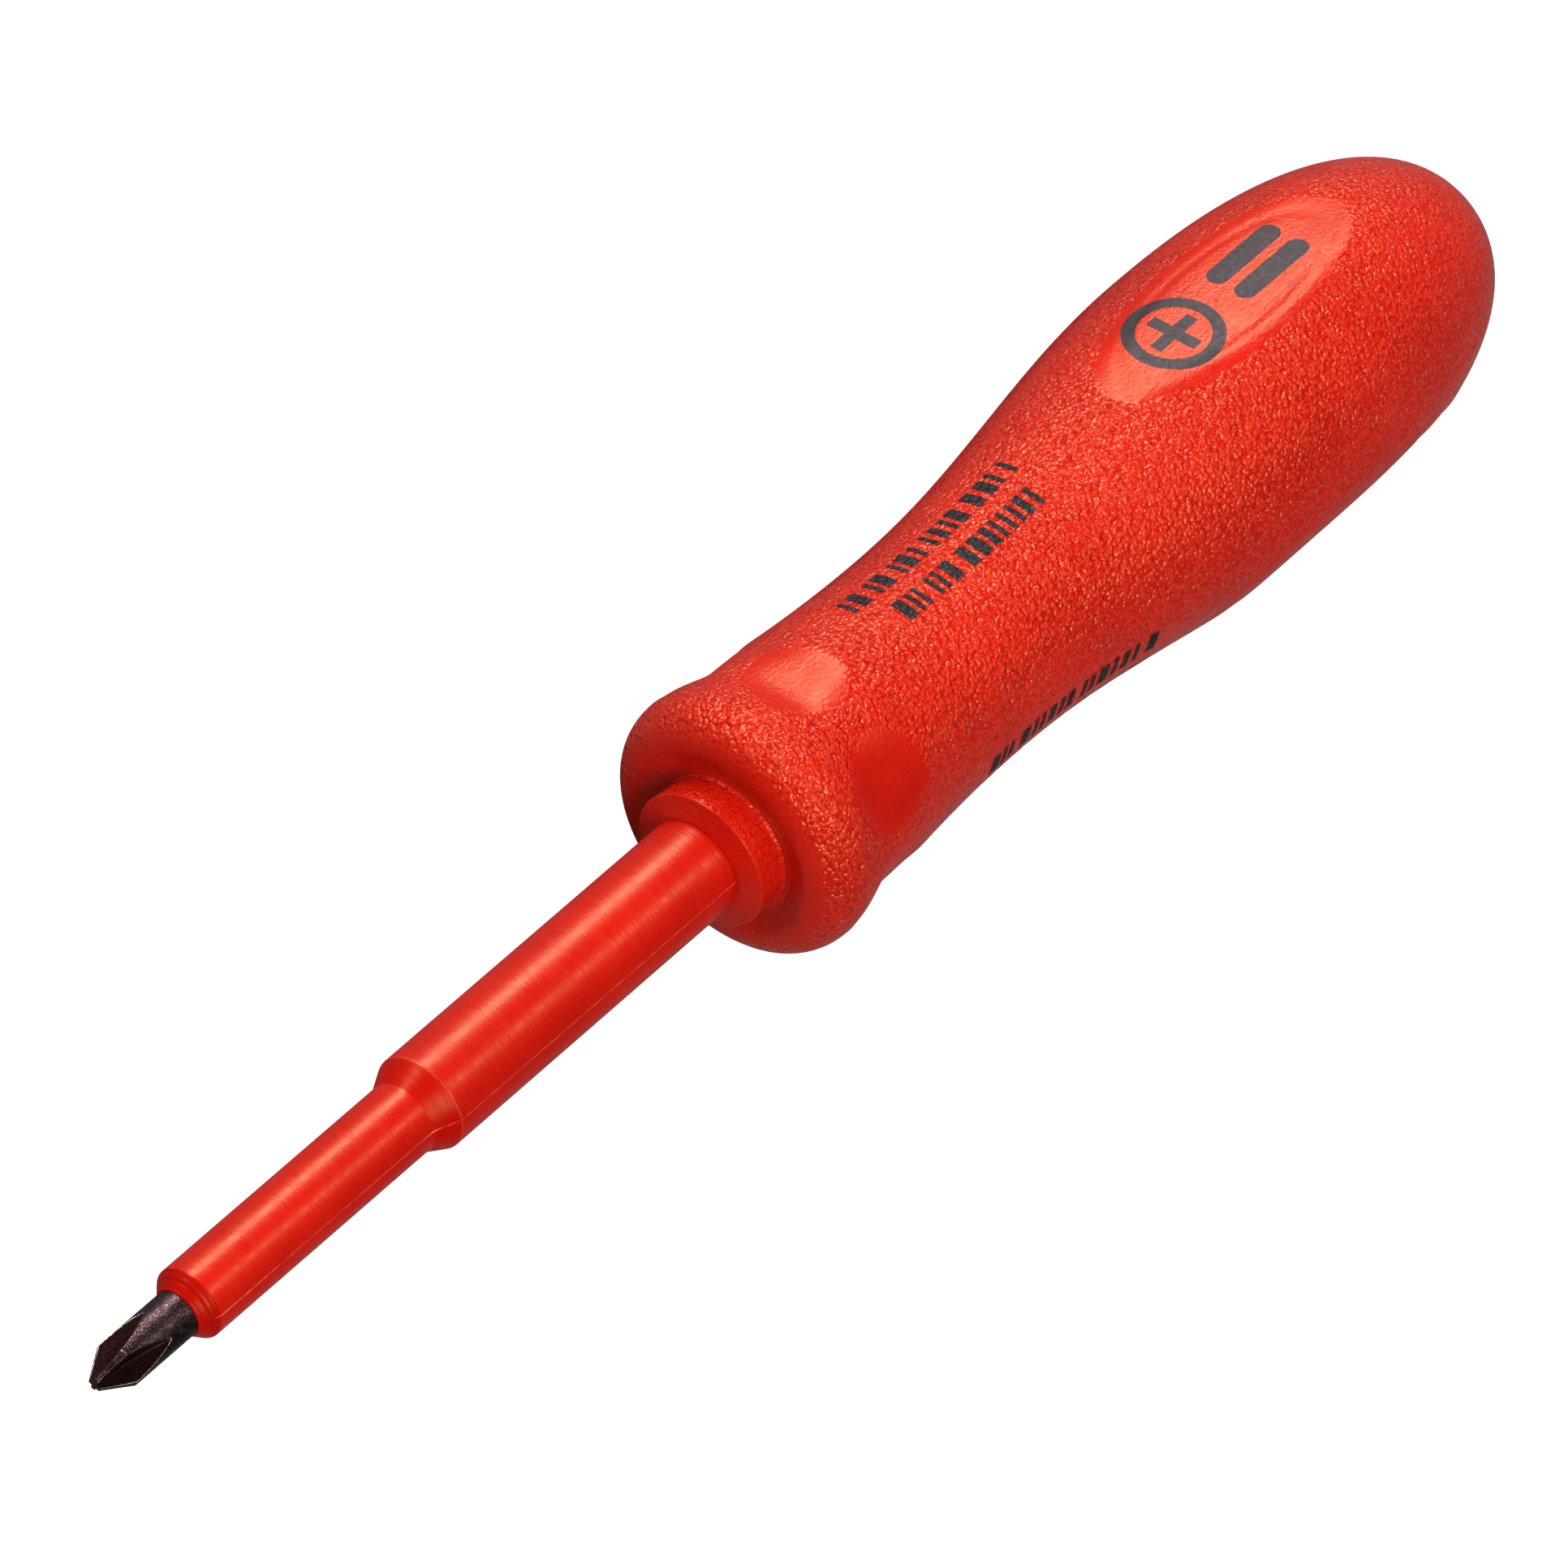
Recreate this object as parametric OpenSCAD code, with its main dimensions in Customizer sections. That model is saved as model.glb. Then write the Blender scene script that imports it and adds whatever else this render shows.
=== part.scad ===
// Insulated screwdriver with a size 1 cross point and a fixed 75 mm blade.
// It lies along X: the origin is the centre of the blade's tip, and +X runs
// from the tip to the end of the handle. One smooth panel of the grip faces
// down, and the tool rests on it. Turns are about +X, from +Z towards -Y.

/* [Blade] */
// Diameter of the steel bar
blade_d = 4.25; // [4:0.05:4.6]
// Diameter of the flat at the very tip
tip_d = 1.16; // [1:0.02:1.3]
// Included angle of the point
point_angle = 59; // [54:1:62]
// Length of bare steel in front of the insulation
bare_len = 9.9; // [9:0.1:14]
// Turn of the first flute of the point about the blade
flute_turn = 7; // [0:1:89]
// Radius of the ground run-out of a flute
flute_wheel_r = 13.5; // [12:0.5:15]
// Depth at which a flute starts, from the axis
flute_root = 0.33; // [0.3:0.01:0.4]
// Included angle of a flute
flute_angle = 92; // [88:1:96]
// Where the steel bar ends inside the handle
tang_x = 146; // [140:1:150]
// Width of the flattened wings of the tang
wing_w = 7.6; // [6:0.2:8.4]
// Thickness of the flattened wings
wing_t = 2.2; // [1.6:0.1:2.8]
// Length of one pair of wings
wing_len = 10; // [8:1:12]

/* [Blade sleeve] */
// Outer diameter of the thin front length
thin_d = 6.56; // [6:0.02:7]
// Outer diameter of the thick rear length
thick_d = 8.78; // [8.4:0.02:9]
// Where the front chamfer reaches the thin diameter
rim_x = 11.25; // [11:0.05:15]
// Where the thin length ends
step_x = 37.3; // [30:0.1:45]
// Where the thick length starts
shoulder_x = 39.5; // [32:0.1:48]
// Outer diameter of the tail inside the handle
tail_d = 8; // [7.4:0.1:8.4]
// Where the tail ends
tail_end_x = 97; // [94:0.5:98]
// Depth of the two keying grooves in the tail
tail_groove = 0.6; // [0.4:0.1:0.8]

/* [Grip] */
// Where the trimmed face of the collar meets the sleeve
face_x = 74.3; // [74:0.1:74.8]
// Front rim of the collar: the end of the 75 mm blade
collar_x = 75; // [75:0.1:75.4]
// Diameter of the collar at its front rim
collar_d = 12.82; // [12.4:0.02:13]
// Diameter of the collar at its root
collar_root_d = 12.24; // [12:0.02:12.4]
// Where the collar meets the nose of the grip
root_x = 78.1; // [78:0.1:78.3]
// Most forward point of the rounded nose
nose_x = 77.5; // [77.3:0.1:77.8]
// Diameter of the ring where the nose is most forward
nose_d = 17.4; // [16.4:0.2:18]
// Roundness of the nose, 2 is an ellipse
nose_power = 2.2; // [2:0.1:2.6]
// Widest place of the front flange
flange_x = 81.4; // [81:0.1:82]
// Diameter of the front flange
flange_d = 24.4; // [24:0.1:25]
// Narrowest place of the grip
waist_x = 105.5; // [103:0.5:108]
// Diameter at the waist
waist_d = 20.56; // [20:0.02:21.2]
// How quickly the flange falls to the waist
flare_power = 1.9; // [1.7:0.1:2.2]
// Widest place of the rear bulge
bulge_x = 145; // [142:0.5:147]
// Diameter of the rear bulge
bulge_d = 28; // [27.4:0.1:29]
// How the waist swells to the bulge, 1 is an even wave
swell_power = 1.08; // [1:0.02:1.12]
// Overall length of the tool
overall_len = 177; // [175:0.5:180]
// Roundness of the rear end, 2 is an ellipse
end_power = 2.4; // [2:0.1:2.6]

/* [Panels and dimples] */
// Turn of the first of the three panels: 180 faces down
panel_turn = 180; // [0:1:359]
// Distance of a panel from the axis
panel_r = 13.12; // [12.8:0.02:13.4]
// Turn of the first of the six dimples
dimple_turn = 0; // [0:1:59]
// Middle of the ring of dimples
dimple_x = 88.2; // [87.5:0.1:89]
// Distance of a dimple's floor from the axis
dimple_r = 10.93; // [10.8:0.01:11.1]
// Radius of the scoop of a dimple
scoop_r = 12; // [10:0.5:14]

/* [Handle core] */
// Where the core starts, over the sleeve
core_x0 = 86; // [85:0.5:88]
// Where the core ends
core_x1 = 164; // [160:1:165]
// Diameter of the core at the waist
core_waist_d = 15; // [14:0.5:15.5]
// Diameter of the core in the rear bulge
core_bulge_d = 20; // [18:0.5:21]
// Number of keying flutes along the core
key_n = 6; // [4:1:8]
// Radius of a keying flute
key_r = 1.6; // [1:0.1:2]

/* [Hidden] */

steel_colour = "#2e2724";
sleeve_colour = "#dc2f1d";
core_colour = "#a8190f";
grip_colour = "#e23a24";

round_fn = 96;
arc_step = 7.5;
over = 1;

point_len = (blade_d - tip_d) / 2 / tan(point_angle / 2);
flute_depth = 6;
flute_flat = 0.1;
flute_x = 0.25;
wing_xs = [107, 129];
wing_chamfer = 2.5;

groove_xs = [88, 92];
groove_w = 1.6;

panel_n = 3;
dimple_n = 6;

nose_r = nose_d / 2;
flange_r = flange_d / 2;
waist_r = waist_d / 2;
bulge_r = bulge_d / 2;
valley_r = collar_root_d / 2 + 0.45;
valley_x = root_x + 0.1;
flare_steps = 10;
swell_steps = 16;

core_nose_d = 12.5;
core_cone_len = 6;
core_swell_x0 = 110;
core_swell_x1 = 130;
core_end_bevel = 6;
key_x0 = 132;
key_x1 = 156;

// Curves of the grip's outline, as [radius, place along the axis]
function nose_point(t) =
    [nose_r + (flange_r - nose_r) * pow(sin(t), 2 / nose_power),
     flange_x - (flange_x - nose_x) * pow(cos(t), 2 / nose_power)];

function flare_point(u) =
    [waist_r + (flange_r - waist_r) * pow(1 - u, flare_power),
     flange_x + (waist_x - flange_x) * u];

function swell_point(u) =
    [waist_r + (bulge_r - waist_r) * (1 - cos(180 * pow(u, swell_power))) / 2,
     waist_x + (bulge_x - waist_x) * u];

function end_point(t) =
    [bulge_r * pow(cos(t), 2 / end_power),
     bulge_x + (overall_len - bulge_x) * pow(sin(t), 2 / end_power)];

collar_outline = [
    [0, face_x],
    [thick_d / 2, face_x],
    [collar_d / 2, collar_x],
    [collar_root_d / 2, root_x],
    [valley_r, valley_x]
];

grip_outline = concat(
    collar_outline,
    [for (t = [0 : arc_step : 90]) nose_point(t)],
    [for (i = [1 : flare_steps]) flare_point(i / flare_steps)],
    [for (i = [1 : swell_steps]) swell_point(i / swell_steps)],
    [for (t = [arc_step : arc_step : 90]) end_point(t)]
);

// Turns an outline of [radius, place] points about the tool's axis
module turned(outline) {
    rotate([0, 90, 0])
        rotate_extrude($fn = round_fn)
            polygon(outline);
}

// A plain round bar between two places on the tool's axis
module bar(d, x0, x1) {
    translate([x0, 0, 0])
        rotate([0, 90, 0])
            cylinder(d = d, h = x1 - x0, $fn = round_fn);
}

// The cutter that grinds one flute of the cross point
module flute_cutter() {
    flank = flute_depth * tan(flute_angle / 2);
    translate([flute_x, 0, flute_root + flute_wheel_r])
        rotate([90, 0, 0])
            rotate_extrude($fn = round_fn)
                polygon([
                    [flute_wheel_r, -flute_flat],
                    [flute_wheel_r, flute_flat],
                    [flute_wheel_r - flute_depth, flank],
                    [flute_wheel_r - flute_depth, -flank]
                ]);
}

// One pair of wings pressed out of the bar, which stop it turning
module tang_wings(x) {
    half = wing_len / 2;
    translate([x, 0, -wing_t / 2])
        linear_extrude(wing_t)
            polygon([
                [-half, -blade_d / 2 + 0.3],
                [-half + wing_chamfer, -wing_w / 2],
                [half - wing_chamfer, -wing_w / 2],
                [half, -blade_d / 2 + 0.3],
                [half, blade_d / 2 - 0.3],
                [half - wing_chamfer, wing_w / 2],
                [-half + wing_chamfer, wing_w / 2],
                [-half, blade_d / 2 - 0.3]
            ]);
}

// The steel bar with its wings, before the point is ground
module blade_blank() {
    bar(blade_d, point_len, tang_x);
    for (x = wing_xs)
        tang_wings(x);
}

// Steel blade: cross point, round bar and winged tang in one piece
module blade() {
    color(steel_colour)
        difference() {
            union() {
                turned([[0, 0], [tip_d / 2, 0], [blade_d / 2, point_len], [0, point_len]]);
                blade_blank();
            }
            for (a = [0 : 90 : 270])
                rotate([flute_turn + a, 0, 0])
                    flute_cutter();
        }
}

// The sleeve's outer form, with the grooved tail that locks it into the handle
module sleeve_form() {
    difference() {
        turned([
            [0, bare_len],
            [blade_d / 2, bare_len],
            [thin_d / 2, rim_x],
            [thin_d / 2, step_x],
            [thick_d / 2, shoulder_x],
            [thick_d / 2, face_x],
            [tail_d / 2, face_x],
            [tail_d / 2, tail_end_x],
            [0, tail_end_x]
        ]);
        for (x = groove_xs)
            translate([x, 0, 0])
                rotate([0, 90, 0])
                    difference() {
                        cylinder(d = tail_d + over, h = groove_w, $fn = round_fn);
                        translate([0, 0, -over])
                            cylinder(d = tail_d - 2 * tail_groove,
                                     h = groove_w + 2 * over, $fn = round_fn);
                    }
    }
}

// Insulating sleeve moulded over the blade, stepped from thin to thick
module blade_sleeve() {
    color(sleeve_colour)
        difference() {
            sleeve_form();
            bar(blade_d, 0, tang_x);
        }
}

// The core's outer form, with flutes along it that key it into the grip
module core_form() {
    difference() {
        turned([
            [0, core_x0],
            [core_nose_d / 2, core_x0],
            [core_waist_d / 2, core_x0 + core_cone_len],
            [core_waist_d / 2, core_swell_x0],
            [core_bulge_d / 2, core_swell_x1],
            [core_bulge_d / 2, core_x1 - core_end_bevel],
            [core_bulge_d / 2 - core_end_bevel, core_x1],
            [0, core_x1]
        ]);
        for (i = [0 : key_n - 1])
            rotate([i * 360 / key_n, 0, 0])
                translate([key_x0, 0, core_bulge_d / 2])
                    rotate([0, 90, 0])
                        cylinder(r = key_r, h = key_x1 - key_x0, $fn = 48);
    }
}

// Inner moulding that grips the tang and the end of the sleeve
module handle_core() {
    color(core_colour)
        difference() {
            core_form();
            sleeve_form();
            blade_blank();
        }
}

// Flat cut of one smooth panel, with the panel facing +Z
module panel_cutter() {
    translate([bulge_x - bulge_d, -bulge_r, panel_r])
        cube([2 * bulge_d, bulge_d, bulge_r]);
}

// Scoop of one thumb dimple, with the dimple facing +Z
module dimple_cutter() {
    translate([dimple_x, 0, dimple_r + scoop_r])
        rotate([90, 0, 0])
            cylinder(r = scoop_r, h = bulge_d, center = true, $fn = round_fn);
}

// Outer moulding: trimmed collar, nose, flange, dimples, waist and rear bulge
module handle_grip() {
    color(grip_colour)
        difference() {
            turned(grip_outline);
            for (i = [0 : panel_n - 1])
                rotate([panel_turn + i * 360 / panel_n, 0, 0])
                    panel_cutter();
            for (i = [0 : dimple_n - 1])
                rotate([dimple_turn + i * 360 / dimple_n, 0, 0])
                    dimple_cutter();
            sleeve_form();
            core_form();
        }
}

blade();
blade_sleeve();
handle_core();
handle_grip();
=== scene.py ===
import math

import bpy
import numpy as np
from mathutils import Matrix, Vector


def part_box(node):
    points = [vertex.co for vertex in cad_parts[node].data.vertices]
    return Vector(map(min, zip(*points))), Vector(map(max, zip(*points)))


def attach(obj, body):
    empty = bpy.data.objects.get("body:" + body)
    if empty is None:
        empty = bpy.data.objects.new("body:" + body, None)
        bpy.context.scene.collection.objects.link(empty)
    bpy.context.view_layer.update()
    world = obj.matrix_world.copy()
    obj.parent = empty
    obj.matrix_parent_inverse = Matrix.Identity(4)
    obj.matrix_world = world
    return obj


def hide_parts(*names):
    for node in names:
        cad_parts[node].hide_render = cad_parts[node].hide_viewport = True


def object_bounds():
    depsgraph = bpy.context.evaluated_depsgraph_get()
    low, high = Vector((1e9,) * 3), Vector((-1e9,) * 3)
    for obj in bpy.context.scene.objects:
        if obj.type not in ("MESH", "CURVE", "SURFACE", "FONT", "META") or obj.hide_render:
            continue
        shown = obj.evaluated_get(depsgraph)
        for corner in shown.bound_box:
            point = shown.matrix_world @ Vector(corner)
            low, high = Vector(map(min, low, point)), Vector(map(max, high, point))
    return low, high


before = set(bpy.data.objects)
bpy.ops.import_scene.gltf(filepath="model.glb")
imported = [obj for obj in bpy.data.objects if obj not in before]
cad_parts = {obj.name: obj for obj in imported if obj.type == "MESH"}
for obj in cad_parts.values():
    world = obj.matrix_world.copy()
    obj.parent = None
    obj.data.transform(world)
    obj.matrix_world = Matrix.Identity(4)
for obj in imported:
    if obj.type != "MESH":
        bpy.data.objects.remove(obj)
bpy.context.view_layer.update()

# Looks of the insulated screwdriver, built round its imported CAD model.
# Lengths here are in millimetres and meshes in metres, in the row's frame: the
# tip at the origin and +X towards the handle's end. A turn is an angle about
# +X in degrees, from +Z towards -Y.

MM = 0.001


def box_mm(node):
    """Lowest and highest corner of a CAD node, in millimetres."""
    low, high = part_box(node)
    return [c / MM for c in low], [c / MM for c in high]


# Driving dimensions, from the frame where the CAD model holds them
BLADE_LOW, BLADE_HIGH = box_mm("blade")
SLEEVE_LOW, SLEEVE_HIGH = box_mm("blade_sleeve")
CORE_LOW, CORE_HIGH = box_mm("handle_core")
GRIP_LOW, GRIP_HIGH = box_mm("handle_grip")

# The blade: its bar, its ground point and the flattened wings of its tang
TANG_X = BLADE_HIGH[0]
BLADE_R = 2.125
TIP_R = 0.58
POINT_ANGLE = 59.0
POINT_LEN = (BLADE_R - TIP_R) / math.tan(math.radians(POINT_ANGLE / 2.0))
FLUTE_TURN = 7.0
FLUTE_X = 0.25
FLUTE_ROOT = 0.33
FLUTE_WHEEL_R = 13.5
FLUTE_HALF_ANGLE = 46.0
FLUTE_FLAT = 0.1
FLUTE_EDGE_ROUND = 0.035
FLUTES_END_X = 9.0
WING_W = BLADE_HIGH[1] - BLADE_LOW[1]
WING_T = 2.2
WING_LEN = 10.0
WING_XS = (107.0, 129.0)
WING_SLOPE = 0.7

# The sleeve: its front cone, thin length, step, thick length and grooved tail
BARE_X = SLEEVE_LOW[0]
RIM_X = 11.25
THIN_R = 3.28
STEP_X = 37.3
SHOULDER_X = 39.5
THICK_R = SLEEVE_HIGH[1]
TAIL_R = 4.0
TAIL_END_X = SLEEVE_HIGH[0]
GROOVE_XS = (88.0, 92.0)
GROOVE_LEN, GROOVE_DEPTH = 1.6, 0.6
SLEEVE_SEAM_TURN = 19.5
SLEEVE_SEAM_HEIGHT, SLEEVE_SEAM_HALF_W = 0.035, 0.09
BURR_HEIGHT, BURR_HALF_W, BURR_LEN = 0.10, 0.14, 0.25

# The grip: its collar, nose, flange, waist, bulge and end
FACE_X = GRIP_LOW[0]
END_X = GRIP_HIGH[0]
COLLAR_X, COLLAR_R = 75.0, 6.41
ROOT_X, ROOT_R = 78.1, 6.12
FLASH_R = 6.78
NOSE_X, NOSE_R, NOSE_POWER = 77.5, 8.7, 2.2
FLANGE_X, FLANGE_R, FLARE_POWER = 81.4, 12.2, 1.9
WAIST_X, WAIST_R, SWELL_POWER = 105.5, 10.28, 1.08
BULGE_X, BULGE_R, END_POWER = 145.0, GRIP_HIGH[2], 2.4
GRIP_SEAM_TURN = 30.0
GRIP_SEAM_HEIGHT, GRIP_SEAM_HALF_W = 0.03, 0.12
TEAR_TURN, TEAR_DEPTH, TEAR_LEN = 70.0, 0.13, 0.12

# Its hollows: three smooth panels with a fine groove round each, six dimples
PANEL_TURNS = (-60.0, 60.0, 180.0)
PANEL_R = -GRIP_LOW[2]
PANEL_HALF_LEN, PANEL_HALF_W = 16.0, 6.03
PANEL_END_DROP, PANEL_SIDE_DROP = 0.6, 0.5
PANEL_GROOVE_HALF_LEN, PANEL_GROOVE_HALF_W = 13.4, 4.7
PANEL_GROOVE_DEPTH, PANEL_GROOVE_SPREAD = 0.07, 0.06
PANEL_SMOOTH_HALF_W = 6.3
PANEL_BLEND = 0.20
DIMPLE_TURNS = (-120.0, -60.0, 0.0, 60.0, 120.0, 180.0)
DIMPLE_X, DIMPLE_R, SCOOP_R, DIMPLE_FLAT = 88.3, 10.88, 6.0, 1.8
DIMPLE_HALF_W, DIMPLE_SIDE_DROP = 4.4, 0.3
DIMPLE_SMOOTH_X, DIMPLE_SMOOTH_HALF_LEN, DIMPLE_SMOOTH_HALF_W = 87.4, 4.3, 4.6
DIMPLE_BLEND = 0.40
HOLLOW_REACH = 50.0

# The cavity in the grip, which the core fills
CORE_FRONT_R, CORE_NECK_R, CORE_BULGE_R, CORE_END_R = 6.25, 7.5, 10.0, 4.0
CORE_NECK_XS, CORE_BULGE_XS = (92.0, 110.0), (130.0, 158.0)


def wrapped(degrees):
    """The same angle between -180 and 180."""
    return (degrees + 180.0) % 360.0 - 180.0


def smooth_min(a, b, reach):
    """The lesser of a and b, with the corner between them rounded over reach."""
    mix = np.clip(0.5 + 0.5 * (b - a) / reach, 0.0, 1.0)
    return b * (1.0 - mix) + a * mix - reach * mix * (1.0 - mix)


def smooth_step(low, high, value):
    """An even ease from 0 at low to 1 at high, held past them. Low may be above high."""
    t = np.clip((value - low) / (high - low), 0.0, 1.0)
    return t * t * (3.0 - 2.0 * t)


WANDER_VALUES, WANDER_START = 4096, 512.0


def wander(value, seed, pitch):
    """Smooth random values between -1 and 1, a new one every pitch."""
    table = np.random.default_rng(seed).uniform(-1.0, 1.0, WANDER_VALUES)
    place = np.asarray(value, float) / pitch + WANDER_START
    cell = np.floor(place).astype(int)
    ease = smooth_step(0.0, 1.0, place - cell)
    return table[cell % WANDER_VALUES] * (1.0 - ease) + table[(cell + 1) % WANDER_VALUES] * ease


# ---------------------------------------------------------------- meshes


def place_of(x, r, turn):
    """Points in metres at x along the axis, radius r and a turn in degrees."""
    angle = np.radians(turn)
    return np.stack([x, -r * np.sin(angle), r * np.cos(angle)], axis=-1) * MM


def new_object(name, verts, faces, body="root"):
    """A mesh object with smooth faces and outward normals, riding on a body."""
    mesh = bpy.data.meshes.new(name)
    mesh.from_pydata(verts.tolist(), [], faces)
    mesh.update()
    mesh.validate()
    piece = bpy.data.objects.new(name, mesh)
    bpy.context.scene.collection.objects.link(piece)
    mesh.shade_smooth()
    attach(piece, body)
    return piece


def turned_piece(name, outline, turns, radius, attributes=None):
    """A closed mesh swept about the axis.

    outline is a list of (x, r) from one end to the other, and turns(x, r) the
    turns of the points of one ring. radius(x, r, turn) gives their true radius.
    Where r is 0 the ring is one point. attributes maps a name to a function of
    (x, r, turn) that is stored on the points.
    """
    xs, rs = np.array(outline, float).T
    count = len(turns(xs[1], rs[1]))
    verts, starts, info = [], [], []
    for x, r in zip(xs, rs):
        starts.append(sum(len(v) for v in verts))
        if r == 0.0:
            verts.append(place_of(np.array([x]), np.array([0.0]), np.array([0.0])))
            info.append(np.array([[x, 0.0, 0.0]]))
        else:
            along, base, around = np.full(count, x), np.full(count, r), turns(x, r)
            verts.append(place_of(along, radius(along, base, around), around))
            info.append(np.stack([along, base, around], 1))
    faces = []
    rings = len(xs)
    closed = rs[0] > 0.0
    last = rings if closed else rings - 1
    for i in range(last):
        j = (i + 1) % rings
        a, b = starts[i], starts[j]
        for k in range(count):
            n = (k + 1) % count
            if rs[i] == 0.0:
                faces.append((a, b + n, b + k))
            elif rs[j] == 0.0:
                faces.append((a + k, a + n, b))
            else:
                faces.append((a + k, a + n, b + n, b + k))
    piece = new_object(name, np.concatenate(verts), faces)
    info = np.concatenate(info)
    for key, function in (attributes or {}).items():
        layer = piece.data.attributes.new(key, "FLOAT", "POINT")
        layer.data.foreach_set("value", function(*info.T).astype(np.float32))
    return piece


def even_turns(count, seams=(), spread=()):
    """Turns right round, with extra ones close to each seam."""
    turns = [i * 360.0 / count - 180.0 for i in range(count)]
    near = [wrapped(seam + off) for seam in seams for off in spread]
    # An even turn this close to an extra one is left out
    clear = 0.4 * 360.0 / count
    turns = [t for t in turns if all(abs(wrapped(t - n)) > clear for n in near)]
    ring_turns = np.array(sorted(turns + near))
    return lambda x, r: ring_turns


def steps(start, stop, count):
    """count even values after start, up to and with stop."""
    return [start + (stop - start) * (i + 1) / count for i in range(count)]


def line(start, stop, count):
    """Points (x, r) after start, up to and with stop."""
    return list(zip(steps(start[0], stop[0], count), steps(start[1], stop[1], count)))


def rounded(before, corner, after, size, count=5):
    """Points of a rounded corner between two straight runs of an outline."""
    a, b, c = (np.array(p, float) for p in (before, corner, after))
    start = b + (a - b) / np.linalg.norm(a - b) * size
    stop = b + (c - b) / np.linalg.norm(c - b) * size
    curve = [(1 - t) ** 2 * start + 2 * t * (1 - t) * b + t * t * stop
             for t in np.linspace(0.0, 1.0, count)]
    return [tuple(p) for p in curve]


# ---------------------------------------------------------------- the grip


def nose_point(t):
    """Point of the rounded nose, t from 0 at its front to 90 at the flange."""
    angle = math.radians(t)
    r = NOSE_R + (FLANGE_R - NOSE_R) * math.sin(angle) ** (2 / NOSE_POWER)
    x = FLANGE_X - (FLANGE_X - NOSE_X) * max(0.0, math.cos(angle)) ** (2 / NOSE_POWER)
    return x, r


def end_point(t):
    """Point of the rear end, t from 0 at the bulge to 90 on the axis."""
    angle = math.radians(t)
    r = BULGE_R * max(0.0, math.cos(angle)) ** (2 / END_POWER)
    x = BULGE_X + (END_X - BULGE_X) * math.sin(angle) ** (2 / END_POWER)
    return x, (0.0 if t == 90 else r)


def body_radius(x):
    """Radius of the grip from the flange to the bulge, without its hollows."""
    x = np.asarray(x, float)
    fall = np.clip((WAIST_X - x) / (WAIST_X - FLANGE_X), 0.0, 1.0)
    rise = np.clip((x - WAIST_X) / (BULGE_X - WAIST_X), 0.0, 1.0)
    flare = (FLANGE_R - WAIST_R) * fall ** FLARE_POWER
    swell = (BULGE_R - WAIST_R) * (1.0 - np.cos(math.pi * rise ** SWELL_POWER)) / 2.0
    back = np.clip((x - BULGE_X) / (END_X - BULGE_X), 0.0, 1.0)
    tail = (1.0 - back ** END_POWER) ** (1.0 / END_POWER)
    return np.where(x <= BULGE_X, WAIST_R + flare + swell, BULGE_R * tail)


def hump(value, centre, width):
    """1 at the centre, and a smooth fall to 0 on both sides of it."""
    return np.exp(-((value - centre) / width) ** 2)


def ellipse_reach(x, side, centre_x, half_len, half_w):
    """0 at the middle of an ellipse on the face, and 1 on its edge."""
    return np.sqrt(((x - centre_x) / half_len) ** 2 + (side / half_w) ** 2)


def panel_height(x, side):
    """Distance of a panel's face from the axis, at side across its middle."""
    end = np.clip(np.abs(x - BULGE_X) / PANEL_HALF_LEN, 0.0, 1.0) ** 4
    edge = np.clip(np.abs(side) / PANEL_HALF_W, 0.0, 1.0) ** 4
    reach = ellipse_reach(x, side, BULGE_X, PANEL_GROOVE_HALF_LEN, PANEL_GROOVE_HALF_W)
    groove = PANEL_GROOVE_DEPTH * hump(reach, 1.0, PANEL_GROOVE_SPREAD)
    return PANEL_R - PANEL_END_DROP * end - PANEL_SIDE_DROP * edge - groove


def dimple_height(x, side):
    """Distance of a dimple's floor from the axis."""
    reach = np.clip(np.abs(x - DIMPLE_X) - DIMPLE_FLAT, 0.0, SCOOP_R)
    scoop = SCOOP_R - np.sqrt(SCOOP_R ** 2 - reach ** 2)
    edge = np.clip(np.abs(side) / DIMPLE_HALF_W, 0.0, 1.0) ** 4
    return DIMPLE_R + scoop - DIMPLE_SIDE_DROP * edge


def hollowed(x, r, turn, centre_turns, height, blend):
    """Radius r cut back to the nearest hollow of one kind."""
    for centre in centre_turns:
        off = np.radians(wrapped(turn - centre))
        facing = np.abs(off) < math.radians(HOLLOW_REACH)
        side = r * np.sin(off)
        cut = height(x, side) / np.cos(np.where(facing, off, 0.0))
        r = np.where(facing, smooth_min(r, cut, blend), r)
    return r


def seam_ridge(turn, seam, r, height, half_width):
    """Height of the fine flash along a parting line and its opposite one."""
    off = np.minimum(np.abs(wrapped(turn - seam)), np.abs(wrapped(turn - seam - 180.0)))
    return height * np.clip(1.0 - np.radians(off) * r / half_width, 0.0, 1.0)


def torn_depth(x, r, turn):
    """How far the collar's rim is torn in, where the trimming knife pulled at it."""
    rim = hump(x, COLLAR_X, TEAR_LEN) * np.clip((r - COLLAR_R + 0.41) / 0.4, 0.0, 1.0)
    nicks = np.clip(wander(turn, 23, 2.2) + 0.2, 0.0, 1.0)
    near = smooth_step(26.0, 8.0, np.abs(turn - TEAR_TURN))
    return TEAR_DEPTH * rim * (nicks * near) * (x < COLLAR_X + 0.4)


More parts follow.
